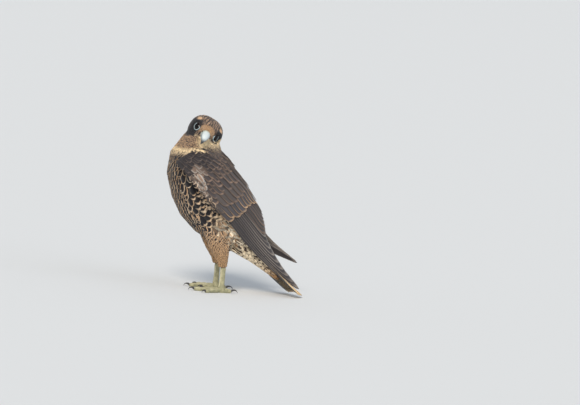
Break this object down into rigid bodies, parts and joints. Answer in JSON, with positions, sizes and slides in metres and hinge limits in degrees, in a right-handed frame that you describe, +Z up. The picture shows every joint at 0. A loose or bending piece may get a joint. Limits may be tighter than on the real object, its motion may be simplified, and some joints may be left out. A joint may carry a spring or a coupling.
{
  "type": "peregrine falcon, juvenile, still life-size model",
  "caption": "Young peregrine falcon standing on the floor, wings folded, tail tip down, head turned over its left side.",
  "frame": {"origin": "on the floor, under the middle of the model's box", "axes": "+X from the breast towards the tail, +Y towards the bird's right side, +Z up"},
  "size_m": [0.2586, 0.1398, 0.303],
  "materials": {
    "plumage_head": "matte",
    "plumage_breast": "matte",
    "plumage_back": "matte",
    "tail_feathers": "matte",
    "eye": "gloss",
    "cere": "satin",
    "bill": "gloss",
    "foot": "satin",
    "claw": "gloss"
  },
  "bodies": {
    "root": {"bill_lower": "bill", "bill_upper": "bill", "cere": "cere", "claw_left_hind": "claw", "claw_left_inner": "claw", "claw_left_middle": "claw", "claw_left_outer": "claw", "claw_right_hind": "claw", "claw_right_inner": "claw", "claw_right_middle": "claw", "claw_right_outer": "claw", "eye_left": "eye", "eye_right": "eye", "foot_left": "foot", "foot_right": "foot", "head": "plumage_head", "neck": "plumage_breast", "tail": "tail_feathers", "thigh_left": "plumage_breast", "thigh_right": "plumage_breast", "torso": "plumage_breast", "wing_left": "plumage_back", "wing_right": "plumage_back"}
  },
  "joints": []
}
